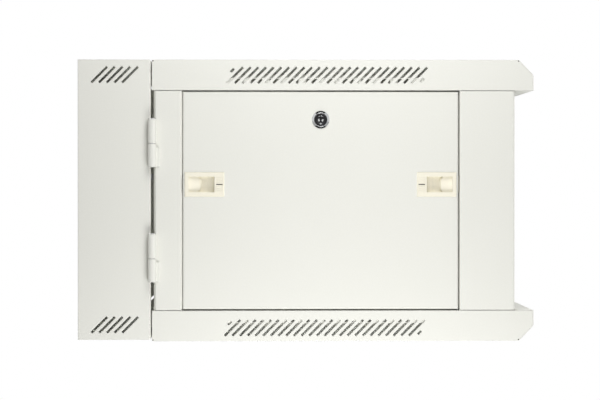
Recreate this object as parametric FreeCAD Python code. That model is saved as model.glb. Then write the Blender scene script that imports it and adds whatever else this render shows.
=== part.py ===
"""Swing-out wall mount network cabinet, 6U, 600 mm wide: a wall section, a body that swings
from it, a glass door, two lift-off side panels, and their locks and latches.

Frame: +Z up, +X to the right of someone facing the door, the wall is the plane Y = 0 and the
door looks along -Y. The origin is the centre of the wall bolt pattern. Units are millimetres.
The locks and latches are drawn released, so that each moving piece is free on its own.
"""

import FreeCAD, Part
import math
import os

V = FreeCAD.Vector

# ---- Overall sizes
WIDTH = 600.0            # over the side faces
BODY_HEIGHT = 368.0      # swinging body over its covers
COVER_DEPTH = 500.0      # top and bottom covers, rear edge to front lip
WALL_DEPTH = 95.0        # wall section, wall to its front edge
WALL_SHORT = 2.0         # the wall section ends this much above the body's underside
SWING_GAP = 1.5          # wall section to covers
POST_SETBACK = 2.5       # rear posts stand this much behind the covers' rear edge

# ---- Sheet metal
SKIN = 1.2               # covers, panels, door and wall section
FRAME = 1.5              # posts, rails, crossbars, back plate
STRAP = 2.0              # hinge straps and keeper
BEND = 1.0               # inside bend radius
FOLD_FLAT = 1.5          # flat across the trays' outside folds

# ---- Sides of small rounds: the many that repeat are drawn many-sided, so that faces stay few
FINE = 16
COARSE = 12
PLAIN = 8

# ---- Covers
COVER_FLANGE = 40.0      # height of the side and rear flanges and of the front lip
LIP_REACH = 25.0         # lip in front of the posts
LIP_BEVEL_Y = 19.0
LIP_BEVEL_Z = 20.0
LIP_HEM = 8.0
LIP_CLEAR = 1.5          # lip's return to the posts' front face

# ---- Slanted vents
VENT_PITCH = 10.05
VENT_WIDTH = 3.0
VENT_LENGTH = 28.9
SLANT = 135.0            # vents rise towards the door
VENT_COUNT = 25
VENT_STUB = 6.0          # short vents that square off the row's two ends
VENT_STUB_SHIFT = 9.0    # their distance along the slant from the vent's centre
TOP_VENT_REAR = 229.3    # row centre from the cover's rear edge
TOP_VENT_EDGE = 20.3     # row centre from the cover's outer face
BOTTOM_VENT_REAR = 225.8
BOTTOM_VENT_EDGE = 17.5
WALL_VENT_COUNT = 5
WALL_VENT_FRONT = 47.0   # row centre from the wall section's front edge
WALL_VENT_EDGE = 19.7

# ---- Frame
REAR_POST_FACE = 37.0
FRONT_POST_FACE = 72.5
FRONT_STILE = 28.0       # front post's width seen from the front
REAR_STILE = 30.0
REAR_RETURN = 12.0
JAMB_DEPTH = 25.5        # front post's wall beside the door
DOOR_STOP = 14.0         # lip that the door closes towards, on the posts
BAR_STOP = 10.5          # the same on the crossbars
SEAT_DEPTH = 14.0        # panel seat behind the side faces
SEAT_LIP = 12.0
POST_SEAM = 0.7          # post's side face to the covers' flanges
RAIL_BOX = 20.0          # depth rails' flanges
RAIL_LOW = 8.0           # depth rails' inner edge inside the covers' flange edge
RAIL_HIGH = 17.5         # their outer edge inside the covers' outer face
RAIL_CLEAR = 1.5         # their rear end to the crossbar's flanges
RIB_START = 2.0          # rib's inner edge inside the covers' flanges, from the flange edge
RIB_HEIGHT = 14.5
RIB_CLEAR = 0.6          # rib to the covers' flanges
RIB_END = 1.5            # rib's ends to the posts' seat lips
FRONT_BAR_UP = 26.0      # front crossbars' upstand
FRONT_BAR_CLEAR = 0.5    # crossbar's plate behind the covers' flange edge
REAR_BAR_FLANGE = 15.0
REAR_BAR_HEIGHT = 36.0

# ---- Depth rails' holes
WEB_HOLE_PITCH = 24.0
WEB_HOLE_LENGTH = 14.0
WEB_HOLE_HEIGHT = 8.0
WEB_HOLE_EDGE = 25.0     # holes' outer edge from the covers' outer face
WEB_HOLES = 10
SLOT_PITCH = 140.0
SLOT_LENGTH = 28.0
NOTCH_SLACK = 3.0        # round what passes through a notch or window
CAM_NOTCH = 14.0         # top rails' notch for the panel lock's cam, from the web's outer face

# ---- Rail bolts
BOLT_R = 3.0
HOLE_SLACK = 0.3         # hole round a bolt, on the radius
BOLT_HEAD = 4.0
BOLT_ACROSS = 10.0
NUT_HIGH = 5.0
BOLT_END = 2.0           # thread past the nut

# ---- 19 inch mounting rails
UNITS = 6
UNIT = 44.45
UNIT_HOLES = (6.35, 22.225, 38.1)
RACK_OPENING = 450.0
RACK_HOLES = 465.1
SQUARE_HOLE = 9.5
RAIL_FACE = 37.0
RAIL_SIDE = 35.0
RAIL_RETURN = 12.0
TAB_PAST_BOLT = 8.25     # tab's outer edge from its bolt
RAIL_TAB_INSET = 6.0     # tab's edge behind the rail's front face
FRONT_RAIL_BACK = 52.0   # front rails behind the posts' front face
REAR_RAIL_FRONT = 61.5   # rear rails in front of the posts' rear face

# ---- Cable entries and fan field
ENTRY_LENGTH = 300.0
ENTRY_WIDTH = 58.0
ENTRY_CORNER = 6.0
ENTRY_CLEAR = 0.4        # round the plate's raised middle
ENTRY_REAR = 80.0        # entry's centre from the cover's rear edge
WALL_ENTRY_WIDTH = 50.0
WALL_ENTRY_FRONT = 44.0  # wall section's entry centre from its front edge
ENTRY_LAP = 10.0         # plate over the entry's edge, inside the cover
FAN_SPACING = 105.0
FAN_HOLE_R = 2.2
FAN_RADIUS = 54.0
FAN_SLOT_PITCH = 12.0
FAN_SLOT_WIDTH = 6.0
FAN_SLOTS = 9
FAN_Y = 265.0            # fan field's centre from the cover's rear edge

# ---- Wall fixing
WALL_SLOT_X = 450.0
WALL_SLOT_Z = 280.0
WALL_SLOT_LENGTH = 20.0
WALL_SLOT_R = 4.5
KEYHOLE_X = 300.0
KEYHOLE_Z = 150.0
KEYHOLE_HEAD_R = 8.0
KEYHOLE_NECK_R = 4.0
KEYHOLE_RISE = 14.0
BACK_OPENING_X = 360.0
BACK_OPENING_Z = 180.0
BACK_CORNER = 20.0
BACK_FLANGE = 12.0
WALL_RETURN = 15.0       # front return of the wall section
STUD_R = 3.0
STUD_LENGTH = 16.0
STUD_NUT = 7.0           # nut's inner face from the stud's foot
STUD_IN = 60.0           # stud from the wall section's side
STUD_UP = 30.0           # stud from its underside

# ---- Swing hinges
BARREL_R = 5.5
HINGE_PIN_R = 3.0
RUNNING = 0.06           # radial clearance of pins and lock plugs
BARREL_PROUD = 0.3       # barrel off the side face
HINGE_OFFSET = 75.0      # hinge's middle from mid-height
UPPER_KNUCKLE = 32.0
LOWER_KNUCKLE = 30.5
KNUCKLE_GAP = 0.6
WING_REACH = 9.0         # strap on the post's side face
WING_NOTCH = 4.0
STRAP_REACH = 22.0       # strap in the gap, behind the side face
PIN_HEAD_R = 4.0
PIN_HEAD = 0.6

# ---- Side panels
PANEL_GAP_FRONT = 1.5    # to the front post
PANEL_GAP_REAR = 0.7     # to the rear post
PANEL_GAP_Z = 2.0        # to the covers' flanges
SEAT_CLEAR = 0.5
LOCK_FROM_TOP = 36.4     # panel lock's centre below the panel's top edge

# ---- Slide latches; distances in from the panel's edge
LATCH_Z = 21.0
LATCH_EDGE = 2.5
LATCH_LENGTH = 52.0
LATCH_HEIGHT = 32.0
LATCH_PROUD = 1.2
LATCH_CHAMFER = 0.84
LATCH_PLATE = 2.7        # bezel's full thickness
LATCH_DEPTH = 10.5       # housing's back behind the panel's face
LATCH_BODY_IN = 2.7      # body's end inside the bezel's end
LATCH_WALL = 1.5
LATCH_FLOOR = 1.0
WINDOW_OUTER = 5.3       # window's end from the bezel's outer end
WINDOW_LENGTH = 33.7
WINDOW_HEIGHT = 20.6
MARK_LENGTH = 8.5
MARK_WIDTH = 1.4
MARK_DEPTH = 0.8
SLIDE_CLEAR = 0.4
TONGUE_HEIGHT = 21.6
TONGUE_TOP = 3.0         # tongue's face behind the panel's face
TONGUE_THICK = 4.0
TONGUE_BEVEL = 1.5
TONGUE_TIP = 0.5         # tip's clearance from the post when released
TONGUE_SLACK = 0.6       # slots round the tongue
LATCH_TRAVEL = 6.0
DISH_LAND = 0.6          # finger dish's end inside the slider's end
PLATE_LENGTH = 15.0      # shallow plate, from the window's outer end
PLATE_DROP = 1.0         # its slope
NOSE = 3.0               # its end is drawn out to a nose
NOSE_HALF = 6.0
SCOOP_STEP = 1.5
SCOOP = ((9.0, 0.0), (5.0, 0.9), (2.4, 2.2), (0.8, 3.9))  # from the wall, above the floor

# ---- Cam locks; lengths along the lock's axis
LOCK_FLANGE_R = 11.5
LOCK_FLANGE = 2.6
LOCK_BEVEL = 1.6
LOCK_PLUG_R = 8.3
LOCK_WALL = 1.2          # barrel's wall round the plug
LOCK_FLAT_WALL = 0.6     # the same at the barrel's two flats
LOCK_BARREL = 20.0
LOCK_NUT_ACROSS = 24.0
LOCK_NUT = 4.0
PLUG_SINK = 0.5
KEY_SLOT = (1.6, 8.0, 5.0)
CAM_THICK = 2.0
CAM_HALF = 6.5
CAM_HUB_R = 8.5
CAM_SCREW_ACROSS = 8.0
CAM_SCREW = 2.5
CAM_CLEAR = 1.0          # barrel's end to the cam
PANEL_CAM = 40.0
DOOR_CAM = 25.0
SWING_CAM = 24.0

# ---- Door
DOOR_GAP = 4.0           # to the posts
DOOR_GAP_Z = 3.5         # to the crossbars
DOOR_THICK = 20.0
DOOR_RETURN = 10.0
DOOR_STILE = 63.0
DOOR_RAIL = 36.0
GLASS_LAP = 10.0
GLASS_THICK = 4.0
SEAL_THICK = 1.0
WINDOW_CORNER = 12.0
CLIP_WIDTH = 16.0
CLIP_FOOT = 8.0
CLIP_REACH = 7.0         # over the glass
CLIP_CLEAR = 2.5         # clip's rise to the glass's edge
DOOR_PIN_R = 4.0
DOOR_PIN_IN = 8.0        # pin from the door's edge and from its front
BUSH_WALL = 1.6
BUSH_FLANGE_R = 7.5
BUSH_LENGTH = 9.0
DOOR_LIFT = 0.5          # door's edge to the bushes' flanges
PIN_TAIL = 9.0           # pin inside the door
DOOR_LOCK_X = 24.0       # door lock's centre from the door's free edge

# ---- Swing lock keeper
KEEPER_HOOK = 8.0
KEEPER_GAP = 2.0         # hook to the closed cam
KEEPER_ARM = 10.0        # arm's height
KEEPER_BASE = 40.0
KEEPER_SET = 17.0        # keeper's bend behind the wall section's front edge

# ---- Positions that follow from the sizes above
HALF_W = WIDTH / 2
HALF_H = BODY_HEIGHT / 2
WALL_FRONT = -WALL_DEPTH
COVER_REAR = WALL_FRONT - SWING_GAP
COVER_FRONT = COVER_REAR - COVER_DEPTH
POST_REAR = COVER_REAR - POST_SETBACK
POST_FRONT = COVER_FRONT + LIP_REACH
REAR_JAMB = POST_REAR - REAR_POST_FACE
FRONT_JAMB = POST_FRONT + FRONT_POST_FACE
FLANGE_Z = HALF_H - COVER_FLANGE
INSIDE_Z = HALF_H - SKIN
WALL_BOTTOM = -HALF_H + WALL_SHORT
WALL_ENTRY_Y = WALL_FRONT + WALL_ENTRY_FRONT
SEAT_X = HALF_W - SEAT_DEPTH
DOORWAY_X = HALF_W - FRONT_STILE
STOP_Y = POST_FRONT + JAMB_DEPTH
WEB_X = SEAT_X - FRAME
RAIL_LOW_Z = FLANGE_Z - RAIL_LOW
RAIL_HIGH_Z = HALF_H - RAIL_HIGH
RIB_X = HALF_W - SKIN - RIB_CLEAR
RIB_Z = FLANGE_Z + RIB_START
BOLT_X = WEB_X - FRAME - (RAIL_BOX - FRAME) / 2
FRONT_RAIL_Y = POST_FRONT + FRONT_RAIL_BACK
REAR_RAIL_Y = POST_REAR - REAR_RAIL_FRONT
RAIL_BOLT_IN = RAIL_TAB_INSET + (RAIL_SIDE - RAIL_TAB_INSET) / 2
FRONT_BOLT_Y = FRONT_RAIL_Y + RAIL_BOLT_IN
REAR_BOLT_Y = REAR_RAIL_Y - RAIL_BOLT_IN
SEAT_Z = RAIL_LOW_Z + FRAME
RAIL_Y0 = STOP_Y + FRAME
RAIL_Y1 = POST_REAR - max(REAR_RETURN, REAR_BAR_FLANGE) - RAIL_CLEAR
HINGE_X = -(HALF_W + BARREL_R + BARREL_PROUD)
HINGE_Y = (WALL_FRONT + POST_REAR) / 2
PANEL_Y0 = FRONT_JAMB + PANEL_GAP_FRONT
PANEL_Y1 = REAR_JAMB - PANEL_GAP_REAR
PANEL_Z = FLANGE_Z - PANEL_GAP_Z
PANEL_DEPTH = SEAT_DEPTH - SEAT_CLEAR
PANEL_LOCK_Y = (PANEL_Y0 + PANEL_Y1) / 2
PANEL_LOCK_Z = PANEL_Z - LOCK_FROM_TOP
DOOR_X = DOORWAY_X - DOOR_GAP
BAR_Z = FLANGE_Z + FRONT_BAR_CLEAR
DOOR_Z = BAR_Z - DOOR_GAP_Z
DOOR_Y0 = POST_FRONT
DOOR_Y1 = POST_FRONT + DOOR_THICK
WINDOW_X = DOOR_X - DOOR_STILE
WINDOW_Z = DOOR_Z - DOOR_RAIL
GLASS_Y = DOOR_Y0 + SKIN + SEAL_THICK
DOOR_LOCK_PLACE = DOOR_X - DOOR_LOCK_X
DOOR_PIN_X = -(DOOR_X - DOOR_PIN_IN)
DOOR_PIN_Y = POST_FRONT + DOOR_PIN_IN
SWING_LOCK_Y = (POST_REAR + REAR_JAMB) / 2
KEEPER_X = HALF_W - LOCK_BARREL - CAM_CLEAR - CAM_THICK
KEEPER_LOW = SWING_CAM + NOTCH_SLACK
KEEPER_HOOK_Y = SWING_LOCK_Y - CAM_HALF - KEEPER_GAP
BUSH_R = DOOR_PIN_R + RUNNING + BUSH_WALL
FLATS = math.cos(math.pi / FINE)  # flats of a turning piece inside its true radius
LOCK_BORE_R = LOCK_PLUG_R + RUNNING
DOOR_BARREL = JAMB_DEPTH + FRAME  # door lock's barrel, so that its cam closes behind the stop


# ---- Shape tools

def box(x0, x1, y0, y1, z0, z1):
    """A block between two limits on each axis, in either order."""
    low = V(min(x0, x1), min(y0, y1), min(z0, z1))
    return Part.makeBox(abs(x1 - x0), abs(y1 - y0), abs(z1 - z0), low)


def lift(a, b, axis, level):
    """The point (a, b) of the plane across an axis: XY for Z, XZ for Y, YZ for X."""
    return {"Z": V(a, b, level), "Y": V(a, level, b), "X": V(level, a, b)}[axis]


def along(axis, length):
    return {"Z": V(0, 0, length), "Y": V(0, length, 0), "X": V(length, 0, 0)}[axis]


def prism(points, axis, start, end):
    """A flat outline pulled along an axis."""
    loop = [lift(a, b, axis, start) for a, b in points]
    face = Part.Face(Part.makePolygon(loop + loop[:1]))
    return face.extrude(along(axis, end - start))


def bore(radius, axis, a, b, start, end):
    """A true round along an axis, for the holes that the cabinet and its fan are fixed by."""
    return Part.makeCylinder(radius, abs(end - start), lift(a, b, axis, min(start, end)), along(axis, 1))


def ring(radius, sides):
    """Corners of a many-sided round; the radius is to its flats."""
    corner = radius / math.cos(math.pi / sides)
    turns = [(k + 0.5) * 2 * math.pi / sides for k in range(sides)]
    return [(corner * math.cos(t), corner * math.sin(t)) for t in turns]


def drum(radius, sides, axis, a, b, start, end):
    """A many-sided bar along an axis."""
    return prism([(a + x, b + y) for x, y in ring(radius, sides)], axis, start, end)


def folded(points, thick, axis, start, end, flats=1):
    """Folded sheet: the outline is one skin, the thickness lies on its left, or right if negative.

    Each fold is drawn as one or two flats across its arc.
    """
    side = 1 if thick > 0 else -1
    thick = abs(thick)
    steps = [(b[0] - a[0], b[1] - a[1]) for a, b in zip(points, points[1:])]
    steps = [(x / math.hypot(x, y), y / math.hypot(x, y)) for x, y in steps]
    lefts = [(-y * side, x * side) for x, y in steps]

    def skin(offset):
        """Ends of the straight runs of one skin, and each arc's middle where it takes two flats."""
        run = [(points[0][0] + lefts[0][0] * offset, points[0][1] + lefts[0][1] * offset)]
        for i in range(1, len(steps)):
            (ax, ay), (bx, by) = steps[i - 1], steps[i]
            turn = (ax * by - ay * bx) * side
            inner = BEND if turn < 0 else BEND + thick
            radius = inner + offset if turn < 0 else inner - offset
            half = math.acos(max(-1.0, min(1.0, ax * bx + ay * by))) / 2
            (lx, ly), (mx, my) = lefts[i - 1], lefts[i]
            reach = inner / math.cos(half)
            way = math.hypot(lx + mx, ly + my) * (-1 if turn < 0 else 1)
            ox, oy = (lx + mx) / way, (ly + my) / way
            cx, cy = points[i][0] + ox * reach, points[i][1] + oy * reach
            sign = 1 if turn < 0 else -1
            run.append((cx + lx * radius * sign, cy + ly * radius * sign))
            if flats == 2:
                run.append((cx - ox * radius, cy - oy * radius))
            run.append((cx + mx * radius * sign, cy + my * radius * sign))
        run.append((points[-1][0] + lefts[-1][0] * offset, points[-1][1] + lefts[-1][1] * offset))
        return run

    return prism(skin(0.0) + skin(thick)[::-1], axis, start, end)


def round_edges(solid, radius, keep):
    """Fillet the edges that the test keeps; the test sees the edge's box."""
    chosen = [e for e in solid.Edges if keep(e.BoundBox)]
    return solid.makeFillet(radius, chosen)


def flatten_edges(solid, keep):
    """A flat across each fold that the test keeps."""
    return solid.makeChamfer(FOLD_FLAT, [e for e in solid.Edges if keep(e.BoundBox)])


def turned(points, ca, cb, degrees):
    """An outline drawn round zero, turned and moved."""
    c, s = math.cos(math.radians(degrees)), math.sin(math.radians(degrees))
    return [(ca + a * c - b * s, cb + a * s + b * c) for a, b in points]


def bar_outline(ca, cb, length, width, degrees):
    a, b = length / 2, width / 2
    return turned([(-a, -b), (a, -b), (a, b), (-a, b)], ca, cb, degrees)


def slots(outlines, axis, start, end):
    return Part.makeCompound([prism(o, axis, start, end) for o in outlines])


def cut_slab(ca, cb, size_a, size_b, corner, axis, start, end):
    """A rectangular slab with its corners cut off."""
    a, b, c = size_a / 2, size_b / 2, corner
    outline = [(a - c, -b), (a, c - b), (a, b - c), (a - c, b)]
    outline += [(-x, -y) for x, y in outline]
    return prism([(ca + x, cb + y) for x, y in outline], axis, start, end)


def rounded_slab(ca, cb, size_a, size_b, corner, axis, start, end):
    """A rectangular slab with rounded corners."""
    slab = prism(bar_outline(ca, cb, size_a, size_b, 0), axis, start, end)
    across = {"X": "XLength", "Y": "YLength", "Z": "ZLength"}[axis]
    deep = abs(end - start)
    return round_edges(slab, corner, lambda bb: abs(getattr(bb, across) - deep) < 1e-6)


def mirror(shape, axis):
    return shape.mirror(V(0, 0, 0), along(axis, 1))


def union(first, *others):
    return first.multiFuse(list(others)).removeSplitter()


def group(*solids):
    """Separate solids in one node."""
    return Part.makeCompound([s for shape in solids for s in shape.Solids])


NODES = {}


def node(name, shape):
    NODES[name] = shape


# ---- Vent rows, as outlines in the YZ plane

def vent_row(centre_y, centre_z, count, slant, stubs=False):
    outlines = []
    for i in range(count):
        y = centre_y + (i - (count - 1) / 2) * VENT_PITCH
        outlines.append(bar_outline(y, centre_z, VENT_LENGTH, VENT_WIDTH, slant))
    if stubs:
        shift = VENT_STUB_SHIFT / math.sqrt(2)
        reach = (count + 1) / 2 * VENT_PITCH
        rise = -shift * math.tan(math.radians(slant))
        for end in (1, -1):
            outlines.append(bar_outline(
                centre_y + end * (reach - shift), centre_z + end * rise, VENT_STUB, VENT_WIDTH, slant))
    return outlines


def entry(centre_y, width, extra, z0, z1):
    """Cable entry's outline as a slab between two heights."""
    return cut_slab(0, centre_y, ENTRY_LENGTH + extra, width + extra, ENTRY_CORNER, "Z", z0, z1)


# ---- Wall section: folded shell and back plate

def wall_shell():
    outer = box(-HALF_W, HALF_W, WALL_FRONT, 0, WALL_BOTTOM, HALF_H)
    outer = flatten_edges(outer, lambda bb: bb.YMax < WALL_FRONT + 0.1)
    inner = box(-HALF_W + SKIN, HALF_W - SKIN, WALL_FRONT + SKIN, 1, WALL_BOTTOM + SKIN, HALF_H - SKIN)
    mouth = box(-HALF_W + WALL_RETURN, HALF_W - WALL_RETURN, WALL_FRONT - 1, WALL_FRONT + SKIN + 1,
                WALL_BOTTOM + WALL_RETURN, HALF_H - WALL_RETURN)
    shell = outer.cut([inner, mouth])
    vent_y = WALL_FRONT + WALL_VENT_FRONT
    vents = vent_row(vent_y, HALF_H - WALL_VENT_EDGE, WALL_VENT_COUNT, SLANT)
    vents += vent_row(vent_y, WALL_BOTTOM + WALL_VENT_EDGE, WALL_VENT_COUNT, SLANT)
    shell = shell.cut(slots(vents, "X", -HALF_W - 1, HALF_W + 1))
    return shell.cut(entry(WALL_ENTRY_Y, WALL_ENTRY_WIDTH, 0, -HALF_H - 1, HALF_H + 1))


def keyhole(x, z):
    neck = box(x - KEYHOLE_NECK_R, x + KEYHOLE_NECK_R, -FRAME - 1, 1, z, z + KEYHOLE_RISE)
    head = drum(KEYHOLE_HEAD_R, COARSE, "Y", x, z, -FRAME - 1, 1)
    return union(head, neck, drum(KEYHOLE_NECK_R, PLAIN, "Y", x, z + KEYHOLE_RISE, -FRAME - 1, 1))


def wall_slot(x, z):
    """Level slot for a wall bolt, with round ends."""
    half = WALL_SLOT_LENGTH / 2 - WALL_SLOT_R
    ends = [bore(WALL_SLOT_R, "Y", x + s * half, z, -FRAME - 1, 1) for s in (-1, 1)]
    return union(box(x - half, x + half, -FRAME - 1, 1, z - WALL_SLOT_R, z + WALL_SLOT_R), *ends)


def wall_back_plate():
    x, z0, z1 = HALF_W - SKIN, WALL_BOTTOM + SKIN, HALF_H - SKIN
    outer = box(-x, x, -BACK_FLANGE, 0, z0, z1)
    outer = flatten_edges(outer, lambda bb: bb.YMin > -0.1)
    inner = box(-x + FRAME, x - FRAME, -BACK_FLANGE - 1, -FRAME, z0 + FRAME, z1 - FRAME)
    cuts = [inner, cut_slab(0, 0, BACK_OPENING_X, BACK_OPENING_Z, BACK_CORNER, "Y", -FRAME - 1, 1)]
    for sx in (-1, 1):
        cuts.append(keyhole(sx * KEYHOLE_X / 2, KEYHOLE_Z))
        for sz in (-1, 1):
            cuts.append(wall_slot(sx * WALL_SLOT_X / 2, sz * WALL_SLOT_Z / 2))
    return outer.cut(cuts)


def entry_plate(centre_y, width, top):
    """Loose plate that closes a cable entry from inside, pressed up into it; top is its seat."""
    flange = entry(centre_y, width, 2 * ENTRY_LAP, top - SKIN, top)
    island = entry(centre_y, width, -2 * ENTRY_CLEAR, top - SKIN, top + SKIN / 2)
    hollow = entry(centre_y, width, -2 * ENTRY_CLEAR - 2 * SKIN, top - SKIN - 1, top - SKIN / 2)
    return union(flange, island).cut(hollow)


def stud(x, z):
    """Welded earthing stud on the back plate, with its nut."""
    foot = -FRAME
    shank = drum(STUD_R, PLAIN, "Y", x, z, foot, foot - STUD_LENGTH)
    nut = drum(BOLT_ACROSS / 2, 6, "Y", x, z, foot - STUD_NUT, foot - STUD_NUT - NUT_HIGH)
    return group(shank, nut.cut(shank))


node("wall_shell", wall_shell())
node("wall_back_plate", wall_back_plate())
UPPER_WALL_PLATE = entry_plate(WALL_ENTRY_Y, WALL_ENTRY_WIDTH, HALF_H - SKIN)
LOWER_WALL_PLATE = mirror(entry_plate(WALL_ENTRY_Y, WALL_ENTRY_WIDTH, -WALL_BOTTOM - SKIN), "Z")
node("wall_entry_covers", group(UPPER_WALL_PLATE, LOWER_WALL_PLATE))
node("wall_earth_stud", stud(HALF_W - STUD_IN, WALL_BOTTOM + STUD_UP))


# ---- Swing hinges: wall knuckle above, body knuckle below, pin dropped in from the top

def swing_hinge(middle):
    top = middle + (UPPER_KNUCKLE + KNUCKLE_GAP + LOWER_KNUCKLE) / 2
    seam = top - UPPER_KNUCKLE
    low_top = seam - KNUCKLE_GAP
    bottom = low_top - LOWER_KNUCKLE
    upper = drum(BARREL_R * FLATS, FINE, "Z", HINGE_X, HINGE_Y, seam, top)
    strap = box(HINGE_X, -HALF_W + STRAP_REACH, HINGE_Y, WALL_FRONT, seam, top)
    upper = union(upper, strap).cut(drum(HINGE_PIN_R * FLATS, FINE, "Z", HINGE_X, HINGE_Y, seam, top))
    lower = drum(BARREL_R * FLATS, FINE, "Z", HINGE_X, HINGE_Y, bottom, low_top)
    wing = box(-HALF_W - STRAP, -HALF_W, HINGE_Y, HINGE_Y - WING_REACH, bottom, low_top - WING_NOTCH)
    lower = union(lower, wing)
    lower = lower.cut(drum(HINGE_PIN_R + RUNNING, FINE, "Z", HINGE_X, HINGE_Y, bottom, low_top))
    pin = drum(HINGE_PIN_R * FLATS, FINE, "Z", HINGE_X, HINGE_Y, bottom, top)
    head = drum(PIN_HEAD_R, FINE, "Z", HINGE_X, HINGE_Y, top, top + PIN_HEAD)
    return upper, lower, union(pin, head)


HINGES = [swing_hinge(HINGE_OFFSET), swing_hinge(-HINGE_OFFSET)]
node("wall_hinge_knuckles", group(*[h[0] for h in HINGES]))
node("body_hinge_knuckles", group(*[h[1] for h in HINGES]))
node("swing_hinge_pins", group(*[h[2] for h in HINGES]))


# ---- Covers: folded trays with a bevelled front lip

def fan_field(y):
    """Slots that fill a round fan field in the cabinet's middle, and the fan's four screw holes."""
    outlines = []
    for i in range(FAN_SLOTS):
        off = (i - (FAN_SLOTS - 1) / 2) * FAN_SLOT_PITCH
        length = 2 * math.sqrt(FAN_RADIUS ** 2 - off ** 2)
        outlines.append(bar_outline(off, y, length, FAN_SLOT_WIDTH, 90.0))
    cuts = [prism(o, "Z", HALF_H - SKIN - 1, HALF_H + 1) for o in outlines]
    for sx in (-1, 1):
        for sy in (-1, 1):
            cuts.append(bore(FAN_HOLE_R, "Z", sx * FAN_SPACING / 2, y + sy * FAN_SPACING / 2,
                             HALF_H - SKIN - 1, HALF_H + 1))
    return cuts


def cover(vent_rear, vent_edge, slant):
    """A cover in the top position; the bottom one is its mirror image but for the vents."""
    bevel = COVER_FRONT + LIP_BEVEL_Y
    side = [(COVER_REAR, FLANGE_Z), (COVER_REAR, HALF_H), (bevel, HALF_H),
            (COVER_FRONT, HALF_H - LIP_BEVEL_Z), (COVER_FRONT, FLANGE_Z)]
    outer = prism(side, "X", -HALF_W, HALF_W)
    outer = flatten_edges(outer, lambda bb: (
        bb.XLength < 0.01 and bb.ZMax > FLANGE_Z + 1 and abs(bb.YMax - COVER_REAR) > 0.01)
        or (bb.XLength > WIDTH - 1 and bb.ZMin > FLANGE_Z + 1))
    low = FLANGE_Z - 1
    slope = math.hypot(LIP_BEVEL_Y, LIP_BEVEL_Z)
    cut_y = SKIN * (slope - LIP_BEVEL_Y) / LIP_BEVEL_Z
    cut_z = SKIN * (slope - LIP_BEVEL_Z) / LIP_BEVEL_Y
    core = [(COVER_REAR - SKIN, low), (COVER_REAR - SKIN, HALF_H - SKIN), (bevel + cut_y, HALF_H - SKIN),
            (COVER_FRONT + SKIN, HALF_H - LIP_BEVEL_Z - cut_z), (COVER_FRONT + SKIN, low)]
    inner = prism(core, "X", -HALF_W + SKIN, HALF_W - SKIN)
    tray = outer.cut(inner)
    lip_back = POST_FRONT - LIP_CLEAR
    lip = folded([(COVER_FRONT + SKIN, FLANGE_Z), (lip_back, FLANGE_Z), (lip_back, FLANGE_Z + LIP_HEM)],
                 SKIN, "X", -HALF_W + SKIN, HALF_W - SKIN)
    tray = union(tray, lip)
    cuts = vent_row(COVER_REAR - vent_rear, HALF_H - vent_edge, VENT_COUNT, slant, stubs=True)
    tray = tray.cut(slots(cuts, "X", -HALF_W - 1, HALF_W + 1))
    return tray.cut(entry(COVER_REAR - ENTRY_REAR, ENTRY_WIDTH, 0, INSIDE_Z - 1, HALF_H + 1))


TOP_COVER = cover(TOP_VENT_REAR, TOP_VENT_EDGE, SLANT)
node("top_cover", TOP_COVER.cut(fan_field(COVER_REAR - FAN_Y)))
BOTTOM_COVER = cover(BOTTOM_VENT_REAR, BOTTOM_VENT_EDGE, 180.0 - SLANT)
node("bottom_cover", mirror(BOTTOM_COVER, "Z"))
ENTRY_PLATE = entry_plate(COVER_REAR - ENTRY_REAR, ENTRY_WIDTH, INSIDE_Z)
node("cable_entry_covers", group(ENTRY_PLATE, mirror(ENTRY_PLATE, "Z")))


# ---- Frame: left-hand pieces are drawn, right-hand ones are their mirror images

def open_ends(post):
    """Cut the post's side face away behind the covers' flanges."""
    edge = FLANGE_Z - POST_SEAM
    cuts = [box(-HALF_W - 1, -HALF_W + FRAME, COVER_FRONT, 0, s * edge, s * (HALF_H + 1)) for s in (-1, 1)]
    return post.cut(cuts)


def latch_ports(jamb, inward):
    """Slot in a post's seat wall that takes a latch's tongue."""
    half = TONGUE_HEIGHT / 2 + TONGUE_SLACK
    x0 = -HALF_W + TONGUE_TOP - TONGUE_SLACK
    x1 = x0 + TONGUE_THICK + 2 * TONGUE_SLACK
    return box(x0, x1, jamb + inward, jamb - inward * (FRAME + 1), LATCH_Z - half, LATCH_Z + half)


def front_post():
    path = [(-SEAT_X, FRONT_JAMB + SEAT_LIP), (-SEAT_X, FRONT_JAMB), (-HALF_W, FRONT_JAMB),
            (-HALF_W, POST_FRONT), (-DOORWAY_X, POST_FRONT), (-DOORWAY_X, STOP_Y),
            (-DOORWAY_X + DOOR_STOP, STOP_Y)]
    post = folded(path, FRAME, "Z", -INSIDE_Z, INSIDE_Z, flats=2)
    return open_ends(post).cut(latch_ports(FRONT_JAMB, 1))


def rear_post():
    path = [(-SEAT_X, REAR_JAMB - SEAT_LIP), (-SEAT_X, REAR_JAMB), (-HALF_W, REAR_JAMB),
            (-HALF_W, POST_REAR), (-HALF_W + REAR_STILE, POST_REAR),
            (-HALF_W + REAR_STILE, POST_REAR - REAR_RETURN)]
    post = folded(path, -FRAME, "Z", -INSIDE_Z, INSIDE_Z)
    return open_ends(post).cut(latch_ports(REAR_JAMB, -1))


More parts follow.
